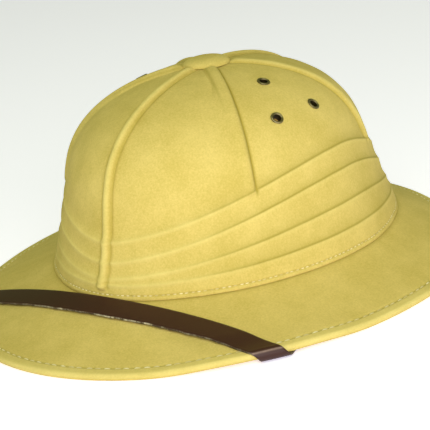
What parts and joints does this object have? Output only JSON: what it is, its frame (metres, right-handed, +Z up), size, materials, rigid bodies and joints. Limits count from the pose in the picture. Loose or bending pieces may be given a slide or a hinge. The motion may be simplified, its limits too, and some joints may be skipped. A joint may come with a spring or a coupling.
{
  "type": "pith helmet",
  "caption": "Khaki cloth-covered pith helmet with six moulded ribs, a folded band, eyelets and a brown chin strap over the brim.",
  "frame": {"origin": "middle of the helmet's footprint, in the plane that its brim stands on", "axes": "-Y to the front of the helmet, +X to the wearer's left, +Z up through the button"},
  "size_m": [0.31, 0.35, 0.1347],
  "materials": {
    "cloth": "matt khaki cotton cloth over a moulded shell",
    "strap": "smooth dark brown leatherette, slightly glossy",
    "brass": "antique, darkened"
  },
  "bodies": {
    "root": {"crown": "cloth", "top_button": "cloth", "brim": "cloth", "chin_strap": "strap", "eyelet_left_1": "brass", "eyelet_left_2": "brass", "eyelet_left_3": "brass", "eyelet_right_1": "brass", "eyelet_right_2": "brass", "eyelet_right_3": "brass"}
  },
  "joints": []
}
